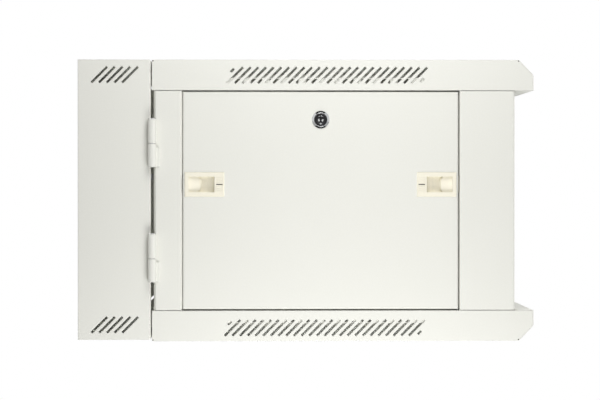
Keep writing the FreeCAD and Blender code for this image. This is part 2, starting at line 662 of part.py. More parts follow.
def depth_rail(lock_notch):
    """Channel between the posts in the top position, its web outwards, its flanges inwards.

    A rib between the posts' seats brings it out behind the cover's flange.
    """
    x0, x1 = -WEB_X, -WEB_X + RAIL_BOX
    path = [(x1, RAIL_LOW_Z), (x0, RAIL_LOW_Z), (x0, RAIL_HIGH_Z), (x1, RAIL_HIGH_Z)]
    rail = folded(path, -FRAME, "Y", RAIL_Y0, RAIL_Y1)
    y0, y1 = FRONT_JAMB + SEAT_LIP + RIB_END, REAR_JAMB - SEAT_LIP - RIB_END
    rib = box(-RIB_X, x0 + FRAME, y0, y1, RIB_Z, RIB_Z + RIB_HEIGHT)
    hollow = box(-RIB_X + FRAME, x0 + FRAME + 1, y0 - 1, y1 + 1, RIB_Z + FRAME, RIB_Z + RIB_HEIGHT - FRAME)
    mouth = box(x0 - 1, x0 + FRAME + 1, y0, y1, RIB_Z + FRAME, RIB_Z + RIB_HEIGHT - FRAME)
    rail = union(rail.cut(mouth), rib.cut(hollow))
    hole_top = HALF_H - WEB_HOLE_EDGE
    cuts = []
    for i in range(WEB_HOLES):
        y = PANEL_LOCK_Y + (i - (WEB_HOLES - 1) / 2) * WEB_HOLE_PITCH
        cuts.append(box(-HALF_W, -RIB_X + FRAME + 1, y - WEB_HOLE_LENGTH / 2, y + WEB_HOLE_LENGTH / 2,
                        hole_top - WEB_HOLE_HEIGHT, hole_top))
    bottom, top = RAIL_LOW_Z - 1, RAIL_LOW_Z + FRAME + 1
    notch = (PANEL_LOCK_Y - PANEL_CAM - NOTCH_SLACK, PANEL_LOCK_Y + CAM_HALF + NOTCH_SLACK)
    steps = round((REAR_BOLT_Y - FRONT_BOLT_Y) / SLOT_PITCH)
    for i in range(steps + 1):
        y = FRONT_BOLT_Y + (REAR_BOLT_Y - FRONT_BOLT_Y) * i / steps
        if not lock_notch or y < notch[0] - SLOT_LENGTH or y > notch[1] + SLOT_LENGTH:
            width = 2 * (BOLT_R + HOLE_SLACK)
            cuts.append(prism(bar_outline(-BOLT_X, y, SLOT_LENGTH, width, 90.0), "Z", bottom, top))
    if lock_notch:
        cuts.append(box(x0 + FRAME, x0 + CAM_NOTCH, notch[0], notch[1], bottom, top))
    return rail.cut(cuts)


def front_crossbar():
    path = [(POST_FRONT, BAR_Z + FRONT_BAR_UP), (POST_FRONT, BAR_Z),
            (STOP_Y, BAR_Z), (STOP_Y, BAR_Z - BAR_STOP)]
    bar = folded(path, FRAME, "X", -DOORWAY_X, DOORWAY_X)
    x = DOORWAY_X - DOOR_STOP
    cuts = [box(s * x, s * HALF_W, STOP_Y - BEND, 0, 0, HALF_H) for s in (-1, 1)]
    cuts.append(drum(BUSH_R, PLAIN, "Z", DOOR_PIN_X, DOOR_PIN_Y, BAR_Z - 1, HALF_H))
    return bar.cut(cuts)


def rear_crossbar():
    x = HALF_W - REAR_STILE
    low = INSIDE_Z - REAR_BAR_HEIGHT
    path = [(POST_REAR - REAR_BAR_FLANGE, low), (POST_REAR, low), (POST_REAR, INSIDE_Z),
            (POST_REAR - REAR_BAR_FLANGE, INSIDE_Z)]
    return folded(path, FRAME, "X", -x, x)


def keeper_window():
    """Window in the right rear post's back for the lock's cam and the keeper."""
    return box(KEEPER_X - NOTCH_SLACK, KEEPER_X + CAM_THICK + NOTCH_SLACK,
               POST_REAR - FRAME - 1, POST_REAR + 1,
               -CAM_HALF - NOTCH_SLACK, KEEPER_LOW + KEEPER_ARM + NOTCH_SLACK)


def lock_barrel(z0, z1):
    """The lock's barrel with its two flats, also used as the hole it sits in."""
    barrel = drum(LOCK_BORE_R + LOCK_WALL, COARSE, "Z", 0, 0, z0, z1)
    flat = LOCK_BORE_R + LOCK_FLAT_WALL
    return barrel.common(box(-LOCK_FLANGE_R, LOCK_FLANGE_R, -flat, flat, z0, z1))


def placed(shape, x, y, z, axis_out, spin):
    """Turn a lock drawn with its face towards +Z and its cam towards +X, and move it to its place."""
    turn = {
        "-X": FreeCAD.Rotation(V(0, -1, 0), V(0, 0, 1), V(-1, 0, 0), "ZXY"),
        "+X": FreeCAD.Rotation(V(0, 1, 0), V(0, 0, 1), V(1, 0, 0), "ZXY"),
        "-Y": FreeCAD.Rotation(V(1, 0, 0), V(0, 0, 1), V(0, -1, 0), "ZXY"),
    }[axis_out]
    spun = FreeCAD.Rotation(V(0, 0, 1), spin)
    moved = shape.copy()
    moved.Placement = FreeCAD.Placement(V(x, y, z), turn.multiply(spun))
    return moved


FRONT_POST, REAR_POST = front_post(), rear_post()
node("front_post_left", FRONT_POST)
node("front_post_right", mirror(FRONT_POST, "X"))
node("rear_post_left", REAR_POST)
SWING_LOCK_HOLE = placed(lock_barrel(-FRAME - 1, 1), HALF_W, SWING_LOCK_Y, 0, "+X", 0)
RIGHT_CUTS = [keeper_window(), SWING_LOCK_HOLE]
node("rear_post_right", mirror(REAR_POST, "X").cut(RIGHT_CUTS))
TOP_RAIL, BOTTOM_RAIL = depth_rail(True), mirror(depth_rail(False), "Z")
node("depth_rail_top_left", TOP_RAIL)
node("depth_rail_top_right", mirror(TOP_RAIL, "X"))
node("depth_rail_bottom_left", BOTTOM_RAIL)
node("depth_rail_bottom_right", mirror(BOTTOM_RAIL, "X"))
FRONT_BAR, REAR_BAR = front_crossbar(), rear_crossbar()
node("front_crossbar_top", FRONT_BAR)
node("front_crossbar_bottom", mirror(FRONT_BAR, "Z"))
node("rear_crossbars", group(REAR_BAR, mirror(REAR_BAR, "Z")))


# ---- 19 inch mounting rails, bolted under the depth rails' inner flanges

def mounting_rail():
    """Front left rail; the others are its mirror images."""
    inner, outer = -RACK_OPENING / 2, -RACK_OPENING / 2 - RAIL_FACE
    path = [(inner, FRONT_RAIL_Y + RAIL_RETURN), (inner, FRONT_RAIL_Y), (outer, FRONT_RAIL_Y),
            (outer, FRONT_RAIL_Y + RAIL_SIDE)]
    rail = folded(path, -FRAME, "Z", -RAIL_LOW_Z, RAIL_LOW_Z)
    tabs, cuts = [], []
    for s in (-1, 1):
        tabs.append(box(outer + FRAME, -BOLT_X - TAB_PAST_BOLT, FRONT_RAIL_Y + RAIL_TAB_INSET,
                        FRONT_RAIL_Y + RAIL_SIDE, s * (RAIL_LOW_Z - FRAME), s * RAIL_LOW_Z))
        cuts.append(drum(BOLT_R + HOLE_SLACK, 6, "Z", -BOLT_X, FRONT_BOLT_Y,
                         s * (RAIL_LOW_Z - FRAME - 1), s * HALF_H))
    half = SQUARE_HOLE / 2
    for unit in range(UNITS):
        for step in UNIT_HOLES:
            z = (unit - UNITS / 2) * UNIT + step
            cuts.append(box(-RACK_HOLES / 2 - half, -RACK_HOLES / 2 + half, FRONT_RAIL_Y - 1,
                            FRONT_RAIL_Y + FRAME + 1, z - half, z + half))
    return union(rail, *tabs).cut(cuts)


def to_rear(shape):
    """Turn a front rail's piece round to face the wall, at the rear rails' place."""
    moved = mirror(shape, "Y")
    moved.translate(V(0, REAR_RAIL_Y + FRONT_RAIL_Y, 0))
    return moved


def rail_bolt():
    low = RAIL_LOW_Z - FRAME
    head = drum(BOLT_ACROSS / 2, 6, "Z", -BOLT_X, FRONT_BOLT_Y, low - BOLT_HEAD, low)
    shank = drum(BOLT_R, 6, "Z", -BOLT_X, FRONT_BOLT_Y, low, SEAT_Z + NUT_HIGH + BOLT_END)
    return union(head, shank)


def frame_nut():
    nut = drum(BOLT_ACROSS / 2, 6, "Z", -BOLT_X, FRONT_BOLT_Y, SEAT_Z, SEAT_Z + NUT_HIGH)
    return nut.cut(drum(BOLT_R, 6, "Z", -BOLT_X, FRONT_BOLT_Y, SEAT_Z, SEAT_Z + NUT_HIGH))


def four_corners(piece):
    """A piece at the front left, and its images at the other three mounting rails."""
    both = [piece, to_rear(piece)]
    return both + [mirror(p, "X") for p in both]


FRONT_LEFT = mounting_rail()
for name, rail in zip(("front_left", "rear_left", "front_right", "rear_right"), four_corners(FRONT_LEFT)):
    node("mounting_rail_" + name, rail)
BOLTS = four_corners(rail_bolt())
node("rail_bolts", group(*BOLTS, *[mirror(b, "Z") for b in BOLTS]))
NUTS = four_corners(frame_nut())
node("frame_nuts", group(*NUTS, *[mirror(n, "Z") for n in NUTS]))


# ---- Cam locks: housing with nut, plug with key slot, and cam; the cam points along +X

def lock_housing(barrel):
    """Bevelled bezel and threaded barrel, bored for the plug."""
    bezel = drum(LOCK_FLANGE_R, FINE, "Z", 0, 0, 0, LOCK_FLANGE)
    bezel = bezel.makeChamfer(LOCK_BEVEL, [e for e in bezel.Edges if e.BoundBox.ZMin > LOCK_FLANGE - 0.1])
    hole = drum(LOCK_BORE_R, FINE, "Z", 0, 0, -barrel, LOCK_FLANGE)
    return union(bezel, lock_barrel(-barrel, 0)).cut(hole)


def lock_nut(seat):
    nut = drum(LOCK_NUT_ACROSS / 2, 6, "Z", 0, 0, -seat - LOCK_NUT, -seat)
    return nut.cut(lock_barrel(-seat - LOCK_NUT, -seat))


def lock_plug(barrel):
    top = LOCK_FLANGE - PLUG_SINK
    plug = drum(LOCK_PLUG_R * FLATS, FINE, "Z", 0, 0, -barrel - CAM_CLEAR, top)
    wide, high, deep = KEY_SLOT
    return plug.cut(box(-wide / 2, wide / 2, -high / 2, high / 2, top - deep, top + 1))


def lock_cam(barrel, reach):
    """Flat cam on the plug's end with the screw that holds it."""
    z1 = -barrel - CAM_CLEAR
    z0 = z1 - CAM_THICK
    tip = CAM_HALF / 2
    arm = [(0, -CAM_HALF), (reach - tip, -CAM_HALF), (reach, -tip), (reach, tip), (reach - tip, CAM_HALF),
           (0, CAM_HALF)]
    cam = union(drum(CAM_HUB_R, COARSE, "Z", 0, 0, z0, z1), prism(arm, "Z", z0, z1))
    return group(cam, drum(CAM_SCREW_ACROSS / 2, 6, "Z", 0, 0, z0 - CAM_SCREW, z0))


def lock_set(prefix, suffix, x, y, z, axis_out, spin, reach, seat, barrel=LOCK_BARREL):
    """A lock in its place: seat is the sheet that the nut clamps, reach the cam's length."""
    def put(piece, turn=0):
        return placed(piece, x, y, z, axis_out, turn)

    node(prefix + "_housing" + suffix, put(lock_housing(barrel)))
    node(prefix + "_nut" + suffix, put(lock_nut(seat)))
    node(prefix + "_plug" + suffix, put(lock_plug(barrel)))
    node(prefix + "_cam" + suffix, put(lock_cam(barrel, reach), spin))


# ---- Swing lock and its keeper on the wall section

def swing_keeper():
    """Bent strap from the wall section's side to a hook in front of the closed cam."""
    side = HALF_W - SKIN
    bend_y = WALL_FRONT + KEEPER_SET
    face = KEEPER_X + CAM_THICK
    tip = KEEPER_HOOK_Y - KEEPER_HOOK
    low, high = KEEPER_LOW, KEEPER_LOW + KEEPER_ARM
    path = [(side, bend_y + KEEPER_BASE), (side, bend_y), (face, bend_y), (face, tip)]
    strap = folded(path, -STRAP, "Z", low, high)
    end = SWING_CAM - KEEPER_ARM
    bevel = KEEPER_HOOK / 3
    hook = prism([(KEEPER_HOOK_Y, high), (tip, high), (tip, end + bevel), (tip + bevel, end),
                  (KEEPER_HOOK_Y - bevel, end), (KEEPER_HOOK_Y, end + bevel)], "X", face - STRAP, face)
    foot = box(side - STRAP, side, bend_y + KEEPER_BASE / 4, bend_y + KEEPER_BASE,
               low - KEEPER_ARM, high + KEEPER_ARM)
    return union(strap, hook, foot)


node("swing_lock_keeper", swing_keeper())
lock_set("swing_lock", "", HALF_W, SWING_LOCK_Y, 0, "+X", 0, SWING_CAM, FRAME)


# ---- Side panels, drawn on the left; distances in from an edge are measured by a latch frame

def panel_sheet():
    outer = box(-HALF_W, -HALF_W + PANEL_DEPTH, PANEL_Y0, PANEL_Y1, -PANEL_Z, PANEL_Z)
    outer = flatten_edges(outer, lambda bb: bb.XMax < -HALF_W + 0.1)
    inner = box(-HALF_W + SKIN, -HALF_W + PANEL_DEPTH + 1, PANEL_Y0 + SKIN, PANEL_Y1 - SKIN,
                -PANEL_Z + SKIN, PANEL_Z - SKIN)
    lock = placed(lock_barrel(-PANEL_DEPTH, 1), -HALF_W, PANEL_LOCK_Y, PANEL_LOCK_Z, "-X", 0)
    sheet = outer.cut([inner, lock])
    cuts = []
    half = TONGUE_HEIGHT / 2 + TONGUE_SLACK
    deep = (TONGUE_TOP - TONGUE_SLACK, TONGUE_TOP + TONGUE_THICK + TONGUE_SLACK)
    body = latch_body_span()
    for end in (0, 1):
        cuts.append(latch_box(end, body[0], body[1], -1, LATCH_DEPTH, LATCH_HEIGHT / 2 - LATCH_BODY_IN))
        cuts.append(latch_box(end, -1, LATCH_EDGE, deep[0], deep[1], half))
    return sheet.cut(cuts)


def latch_body_span():
    return LATCH_EDGE + LATCH_BODY_IN, LATCH_EDGE + LATCH_LENGTH - LATCH_BODY_IN


def latch_box(end, u0, u1, w0, w1, half):
    """A block from a latch's own measures: u in from the panel's edge, w behind its face."""
    edge, way = (PANEL_Y0, 1) if end == 0 else (PANEL_Y1, -1)
    return box(-HALF_W + w0, -HALF_W + w1, edge + way * u0, edge + way * u1, LATCH_Z - half, LATCH_Z + half)


def latch_prism(end, outline, half):
    """An outline of (u, w) points pulled across the latch's height."""
    edge, way = (PANEL_Y0, 1) if end == 0 else (PANEL_Y1, -1)
    return prism([(-HALF_W + w, edge + way * u) for u, w in outline], "Z", LATCH_Z - half, LATCH_Z + half)


def latch_housing(end):
    """Moulded housing: bevelled bezel with the finger window, and a body open at its outer end."""
    u0, u1 = LATCH_EDGE, LATCH_EDGE + LATCH_LENGTH
    b0, b1 = latch_body_span()
    half, body_half = LATCH_HEIGHT / 2, LATCH_HEIGHT / 2 - LATCH_BODY_IN
    bezel = latch_box(end, u0, u1, -LATCH_PROUD, 0, half)
    face = [e for e in bezel.Edges if e.BoundBox.XMax < -HALF_W - LATCH_PROUD + 0.1]
    bezel = bezel.makeChamfer(LATCH_CHAMFER, face)
    body = latch_box(end, b0, b1, 0, LATCH_DEPTH, body_half)
    w0, w1 = LATCH_PLATE - LATCH_PROUD, LATCH_DEPTH - LATCH_FLOOR
    cavity = latch_box(end, b0 - 1, b1 - LATCH_WALL, w0, w1, body_half - LATCH_WALL)
    start = LATCH_EDGE + WINDOW_OUTER
    window = latch_box(end, start, start + WINDOW_LENGTH, -LATCH_PROUD - 1, w0 + 1, WINDOW_HEIGHT / 2)
    inner_pad = u1 - start - WINDOW_LENGTH
    mark_start = start + WINDOW_LENGTH + (inner_pad - MARK_LENGTH) / 2
    mark = latch_box(end, mark_start, mark_start + MARK_LENGTH, -LATCH_PROUD - 1,
                     -LATCH_PROUD + MARK_DEPTH, MARK_WIDTH / 2)
    return union(bezel, body).cut([cavity, window, mark])


def latch_plan(end, outline, w0, w1):
    """An outline of (u, height from the latch's middle) points pulled across the latch's depth."""
    edge, way = (PANEL_Y0, 1) if end == 0 else (PANEL_Y1, -1)
    return prism([(edge + way * u, LATCH_Z + h) for u, h in outline], "X", -HALF_W + w0, -HALF_W + w1)


def latch_slider(end):
    """Tongue and finger dish in one moulding: a shallow plate, a nose, and a scoop up to the pad."""
    outer = LATCH_TRAVEL + SKIN + SLIDE_CLEAR
    inner = latch_body_span()[1] - LATCH_WALL - SLIDE_CLEAR
    top = LATCH_PLATE - LATCH_PROUD + SLIDE_CLEAR
    back = LATCH_DEPTH - LATCH_FLOOR - SLIDE_CLEAR
    floor = back - LATCH_WALL
    half = LATCH_HEIGHT / 2 - LATCH_BODY_IN - LATCH_WALL - SLIDE_CLEAR
    body = latch_prism(end, [(outer, top), (outer, back), (inner, back), (inner, top)], half)
    start, crease = outer + DISH_LAND, LATCH_EDGE + WINDOW_OUTER + PLATE_LENGTH
    wall = LATCH_EDGE + WINDOW_OUTER + WINDOW_LENGTH
    low_end = top + PLATE_DROP
    plate = [(start, top - 1), (start, top), (crease, low_end), (wall, low_end), (wall, top - 1)]
    scoop = [(crease - NOSE, top), (crease - NOSE, floor)]
    scoop += [(wall - back_off, floor - rise) for back_off, rise in SCOOP] + [(wall, top)]
    nose = [(crease - NOSE - 1, -half), (crease - NOSE, -half), (crease, -NOSE_HALF), (crease, NOSE_HALF),
            (crease - NOSE, half), (crease - NOSE - 1, half)]
    step = [(u + SCOOP_STEP, h) for u, h in nose]
    hollow = latch_prism(end, scoop, WINDOW_HEIGHT / 2).cut(
        [latch_plan(end, nose, top, back), latch_plan(end, step, floor - SCOOP_STEP, back)])
    body = body.cut([latch_prism(end, plate, WINDOW_HEIGHT / 2), hollow])
    tip = TONGUE_TIP - (PANEL_GAP_REAR if end else PANEL_GAP_FRONT)
    root = outer + DISH_LAND
    low = TONGUE_TOP + TONGUE_THICK
    tongue = [(tip, TONGUE_TOP + TONGUE_BEVEL), (tip, low - TONGUE_BEVEL), (tip + TONGUE_BEVEL, low),
              (root, low), (root, TONGUE_TOP), (tip + TONGUE_BEVEL, TONGUE_TOP)]
    return union(body, latch_prism(end, tongue, TONGUE_HEIGHT / 2))


PANEL = panel_sheet()
HOUSINGS = [latch_housing(end) for end in (0, 1)]
SLIDERS = [latch_slider(end) for end in (0, 1)]
for side, turn in (("left", lambda s: s), ("right", lambda s: mirror(s, "X"))):
    node("side_panel_" + side, turn(PANEL))
    node("latch_housings_" + side, group(*[turn(h) for h in HOUSINGS]))
    node("latch_slider_front_" + side, turn(SLIDERS[0]))
    node("latch_slider_rear_" + side, turn(SLIDERS[1]))
lock_set("panel_lock", "_left", -HALF_W, PANEL_LOCK_Y, PANEL_LOCK_Z, "-X", 0, PANEL_CAM, SKIN)
lock_set("panel_lock", "_right", HALF_W, PANEL_LOCK_Y, PANEL_LOCK_Z, "+X", 180, PANEL_CAM, SKIN)


# ---- Front door between the posts: folded frame, glass on a seal, clips, pins and lock

def door_frame():
    outer = box(-DOOR_X, DOOR_X, DOOR_Y0, DOOR_Y1, -DOOR_Z, DOOR_Z)
    outer = flatten_edges(outer, lambda bb: bb.YMax < DOOR_Y0 + 0.1)
    inner = box(-DOOR_X + SKIN, DOOR_X - SKIN, DOOR_Y0 + SKIN, DOOR_Y1 - SKIN,
                -DOOR_Z + SKIN, DOOR_Z - SKIN)
    back = box(-DOOR_X + DOOR_RETURN, DOOR_X - DOOR_RETURN, DOOR_Y1 - SKIN - 1, DOOR_Y1 + 1,
               -DOOR_Z + DOOR_RETURN, DOOR_Z - DOOR_RETURN)
    window = rounded_slab(
        0, 0, 2 * WINDOW_X, 2 * WINDOW_Z, WINDOW_CORNER, "Y", DOOR_Y0 - 1, DOOR_Y0 + SKIN + 1)
    pins = [drum(DOOR_PIN_R, PLAIN, "Z", DOOR_PIN_X, DOOR_PIN_Y, s * (DOOR_Z - SKIN - 1), s * HALF_H)
            for s in (-1, 1)]
    lock = placed(lock_barrel(-SKIN - 1, 1), DOOR_LOCK_PLACE, DOOR_Y0, 0, "-Y", 0)
    return outer.cut([inner, back, window, lock] + pins)


def glass_slab(y0, y1):
    """The glass's outline, which the seal shares."""
    half_x, half_z = WINDOW_X + GLASS_LAP, WINDOW_Z + GLASS_LAP
    return cut_slab(0, 0, 2 * half_x, 2 * half_z, GLASS_LAP / 2, "Y", y0, y1)


def glass_seal():
    mouth = cut_slab(0, 0, 2 * WINDOW_X, 2 * WINDOW_Z, WINDOW_CORNER / 2, "Y", DOOR_Y0, GLASS_Y + 1)
    return glass_slab(DOOR_Y0 + SKIN, GLASS_Y).cut(mouth)


def glass_clip(x, z, dx, dz):
    """Z-shaped clip from the door's sheet to the back of the glass; dx, dz point to the glass."""
    seat, back = DOOR_Y0 + SKIN, GLASS_Y + GLASS_THICK
    path = [(-CLIP_FOOT, seat), (0.0, seat), (0.0, back), (CLIP_REACH, back)]
    clip = folded(path, FRAME, "Z", -CLIP_WIDTH / 2, CLIP_WIDTH / 2)
    clip.rotate(V(0, 0, 0), V(0, 1, 0), -math.degrees(math.atan2(dz, dx)))
    clip.translate(V(x, 0, z))
    return clip


def glass_clips():
    off = GLASS_LAP + CLIP_CLEAR
    places = []
    for s in (-1, 1):
        places += [(s * (WINDOW_X + off), z, -s, 0) for z in (-WINDOW_Z / 2, WINDOW_Z / 2)]
        places += [(x, s * (WINDOW_Z + off), 0, -s) for x in (-WINDOW_X / 2, WINDOW_X / 2)]
    return group(*[glass_clip(*p) for p in places])


def door_pin():
    """Top pin; the bottom one is its mirror image."""
    top = BAR_Z + BUSH_LENGTH - 1
    return drum(DOOR_PIN_R * FLATS, FINE, "Z", DOOR_PIN_X, DOOR_PIN_Y, DOOR_Z - PIN_TAIL, top)


def door_bush():
    """Snap-in bush in the crossbar's plate, its flange between the plate and the door."""
    seat, top = DOOR_Z + DOOR_LIFT, BAR_Z + BUSH_LENGTH
    bush = union(drum(BUSH_FLANGE_R, PLAIN, "Z", DOOR_PIN_X, DOOR_PIN_Y, seat, BAR_Z),
                 drum(BUSH_R, PLAIN, "Z", DOOR_PIN_X, DOOR_PIN_Y, seat, top))
    return bush.cut(drum(DOOR_PIN_R + RUNNING, FINE, "Z", DOOR_PIN_X, DOOR_PIN_Y, seat - 1, top + 1))


node("door_frame", door_frame())
node("door_glass", glass_slab(GLASS_Y, GLASS_Y + GLASS_THICK))
node("door_glass_seal", glass_seal())
node("door_glass_clips", glass_clips())
node("door_hinge_pins", group(door_pin(), mirror(door_pin(), "Z")))
node("door_hinge_bushes", group(door_bush(), mirror(door_bush(), "Z")))
lock_set("door_lock", "", DOOR_LOCK_PLACE, DOOR_Y0, 0, "-Y", -90, DOOR_CAM, SKIN, DOOR_BARREL)


# ---- Write every node

os.makedirs("parts", exist_ok=True)
for name, shape in NODES.items():
    shape.exportStep("parts/" + name + ".step")
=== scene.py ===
import bmesh
import bpy
import math
from mathutils import Matrix, Vector


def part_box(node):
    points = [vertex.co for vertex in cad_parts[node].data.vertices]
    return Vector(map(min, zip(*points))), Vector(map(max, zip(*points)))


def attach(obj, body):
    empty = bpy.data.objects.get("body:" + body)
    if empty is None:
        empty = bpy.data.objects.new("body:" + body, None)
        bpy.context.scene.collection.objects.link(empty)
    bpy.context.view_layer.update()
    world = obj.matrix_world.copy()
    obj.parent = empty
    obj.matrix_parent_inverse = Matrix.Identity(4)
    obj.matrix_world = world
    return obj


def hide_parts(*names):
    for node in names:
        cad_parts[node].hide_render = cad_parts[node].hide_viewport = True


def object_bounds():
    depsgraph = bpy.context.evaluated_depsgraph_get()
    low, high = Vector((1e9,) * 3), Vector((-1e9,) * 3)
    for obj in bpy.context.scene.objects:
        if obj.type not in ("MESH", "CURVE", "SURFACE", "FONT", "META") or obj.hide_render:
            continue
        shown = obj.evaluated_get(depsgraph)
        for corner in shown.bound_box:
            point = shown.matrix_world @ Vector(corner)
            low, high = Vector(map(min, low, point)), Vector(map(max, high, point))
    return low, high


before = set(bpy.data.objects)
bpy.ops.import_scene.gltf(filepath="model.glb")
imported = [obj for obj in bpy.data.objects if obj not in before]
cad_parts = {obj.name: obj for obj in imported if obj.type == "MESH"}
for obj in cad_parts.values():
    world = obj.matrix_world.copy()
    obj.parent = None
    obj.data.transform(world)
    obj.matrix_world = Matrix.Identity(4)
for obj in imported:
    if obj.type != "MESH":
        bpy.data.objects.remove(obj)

cad_low, cad_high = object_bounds()
scene = bpy.context.scene
scene.view_settings.view_transform = "Standard"


# ---- Camera
# It looks square at the left side panel through a long lens, and stands a little nearer
# the wall than the cabinet's middle and a little above its mid-height.
CAMERA_PLACE = Vector((-3.529, -0.2156, 0.023))
CAMERA_AIM = Vector((cad_low.x, -0.2898, 0.0007))
LENS = 148.2
SENSOR = 36
SIGHT = 60

lens = bpy.data.cameras.new("side_camera")
lens.lens = LENS
lens.sensor_width = SENSOR
lens.clip_end = SIGHT
camera = bpy.data.objects.new("side_camera", lens)
camera.matrix_world = Matrix.LocRotScale(
    CAMERA_PLACE, (CAMERA_AIM - CAMERA_PLACE).to_track_quat("-Z", "Y"), None)
scene.collection.objects.link(camera)
scene.camera = camera


# ---- Floor, backdrop and lamps
# A pale matt floor well below the cabinet, which hangs on a wall, and a plain white surround.
# Each side of the cabinet has a soft lamp above and one below it; two more face its front and back.
FLOOR_BELOW = 0.62
FLOOR_RADIUS = 4.6
WHITE_SURROUND = 1.0
SURROUND_LIGHT = 0.18
MIDDLE_Y = -0.3           # middle of the floor, of the cards and of what the lamps aim at
SIDE_LAMP_OUT = 0.78
SIDE_LAMP_Y = -0.37
SIDE_LAMP_SIZE = 0.5
HIGH_LAMP = (0.62, 4.4)   # height and watts
LOW_LAMP = (-0.66, 5.6)
END_LAMP_SIZE = 1.3
END_LAMP_WATTS = 34
DOOR_LAMP_PLACE = (0.35, -2.6, 0.5)
WALL_LAMP_PLACE = (0.35, 2.0, 0.5)
CARD_HIGH = 1.1
CARD_OFF_FLOOR = 0.02
CARD_HALF = 0.7

disc = bmesh.new()
bmesh.ops.create_circle(disc, cap_ends=True, segments=96, radius=FLOOR_RADIUS)
bmesh.ops.translate(disc, verts=disc.verts, vec=(0, MIDDLE_Y, cad_low.z - FLOOR_BELOW))
floor_mesh = bpy.data.meshes.new("floor")
disc.to_mesh(floor_mesh)
disc.free()
floor = bpy.data.objects.new("floor", floor_mesh)
scene.collection.objects.link(floor)

paper = bpy.data.materials.new("floor_paper")
paper.use_nodes = True
tree = paper.node_tree
tree.nodes.clear()
coords = tree.nodes.new("ShaderNodeTexCoord")
centred = tree.nodes.new("ShaderNodeMapping")
centred.inputs["Location"].default_value = (
    0, -MIDDLE_Y / FLOOR_RADIUS, -(cad_low.z - FLOOR_BELOW) / FLOOR_RADIUS)
centred.inputs["Scale"].default_value = (1 / FLOOR_RADIUS,) * 3
spread = tree.nodes.new("ShaderNodeTexGradient")
spread.gradient_type = "SPHERICAL"
fade = tree.nodes.new("ShaderNodeMapRange")
fade.inputs["From Min"].default_value = 0.02
fade.inputs["From Max"].default_value = 0.55
grain = tree.nodes.new("ShaderNodeTexNoise")
grain.inputs["Scale"].default_value = 90
tint = tree.nodes.new("ShaderNodeMix")
tint.data_type = "RGBA"
tint.inputs["A"].default_value = (0.86, 0.86, 0.85, 1)
tint.inputs["B"].default_value = (0.89, 0.89, 0.88, 1)
matt = tree.nodes.new("ShaderNodeBsdfDiffuse")
clear = tree.nodes.new("ShaderNodeBsdfTransparent")
blend = tree.nodes.new("ShaderNodeMixShader")
out = tree.nodes.new("ShaderNodeOutputMaterial")
tree.links.new(coords.outputs["Object"], centred.inputs["Vector"])
tree.links.new(coords.outputs["Object"], grain.inputs["Vector"])
tree.links.new(centred.outputs["Vector"], spread.inputs["Vector"])
tree.links.new(spread.outputs["Fac"], fade.inputs["Value"])
tree.links.new(grain.outputs["Fac"], tint.inputs["Factor"])
tree.links.new(tint.outputs["Result"], matt.inputs["Color"])
tree.links.new(fade.outputs["Result"], blend.inputs["Fac"])
tree.links.new(clear.outputs["BSDF"], blend.inputs[1])
tree.links.new(matt.outputs["BSDF"], blend.inputs[2])
tree.links.new(blend.outputs["Shader"], out.inputs["Surface"])
floor_mesh.materials.append(paper)

surround = bpy.data.worlds.new("white_surround")
surround.use_nodes = True
scene.world = surround
tree = surround.node_tree
tree.nodes.clear()
ray = tree.nodes.new("ShaderNodeLightPath")
seen = tree.nodes.new("ShaderNodeMath")
seen.operation = "MAXIMUM"
seen_or_shone = tree.nodes.new("ShaderNodeMath")
seen_or_shone.operation = "MAXIMUM"
light = tree.nodes.new("ShaderNodeBackground")
light.inputs["Color"].default_value = (1, 1, 1, 1)
light.inputs["Strength"].default_value = SURROUND_LIGHT
white = tree.nodes.new("ShaderNodeBackground")
white.inputs["Color"].default_value = (1, 1, 1, 1)
white.inputs["Strength"].default_value = WHITE_SURROUND
choice = tree.nodes.new("ShaderNodeMixShader")
out = tree.nodes.new("ShaderNodeOutputWorld")
tree.links.new(ray.outputs["Is Camera Ray"], seen.inputs[0])
tree.links.new(ray.outputs["Is Glossy Ray"], seen.inputs[1])
tree.links.new(seen.outputs["Value"], seen_or_shone.inputs[0])
tree.links.new(ray.outputs["Is Transmission Ray"], seen_or_shone.inputs[1])
tree.links.new(seen_or_shone.outputs["Value"], choice.inputs["Fac"])
tree.links.new(light.outputs["Background"], choice.inputs[1])
tree.links.new(white.outputs["Background"], choice.inputs[2])
tree.links.new(choice.outputs["Shader"], out.inputs["Surface"])


# The side lamps hang close and would leave two bright pools on the floor, so it is spared their light.
spared = bpy.data.collections.new("spared_by_side_lamps")
spared.objects.link(floor)
spared.collection_objects[0].light_linking.link_state = "EXCLUDE"


def soft_lamp(name, place, size, watts, spares=None):
    """A square lamp that faces the cabinet's middle."""
    lamp = bpy.data.lights.new(name, "AREA")
    lamp.size = size
    lamp.energy = watts
    stand = bpy.data.objects.new(name, lamp)
    aim = Vector((0, MIDDLE_Y, 0)) - Vector(place)
    stand.matrix_world = Matrix.LocRotScale(Vector(place), aim.to_track_quat("-Z", "Y"), None)
    stand.visible_camera = False
    stand.light_linking.receiver_collection = spares
    scene.collection.objects.link(stand)


for side in (-1, 1):
    for level, (height, watts) in (("high", HIGH_LAMP), ("low", LOW_LAMP)):
        soft_lamp(f"{level}_lamp_{side:+d}", (side * SIDE_LAMP_OUT, SIDE_LAMP_Y, height),
                  SIDE_LAMP_SIZE, watts, spared)
soft_lamp("door_lamp", DOOR_LAMP_PLACE, END_LAMP_SIZE, END_LAMP_WATTS)
soft_lamp("wall_lamp", WALL_LAMP_PLACE, END_LAMP_SIZE, END_LAMP_WATTS)


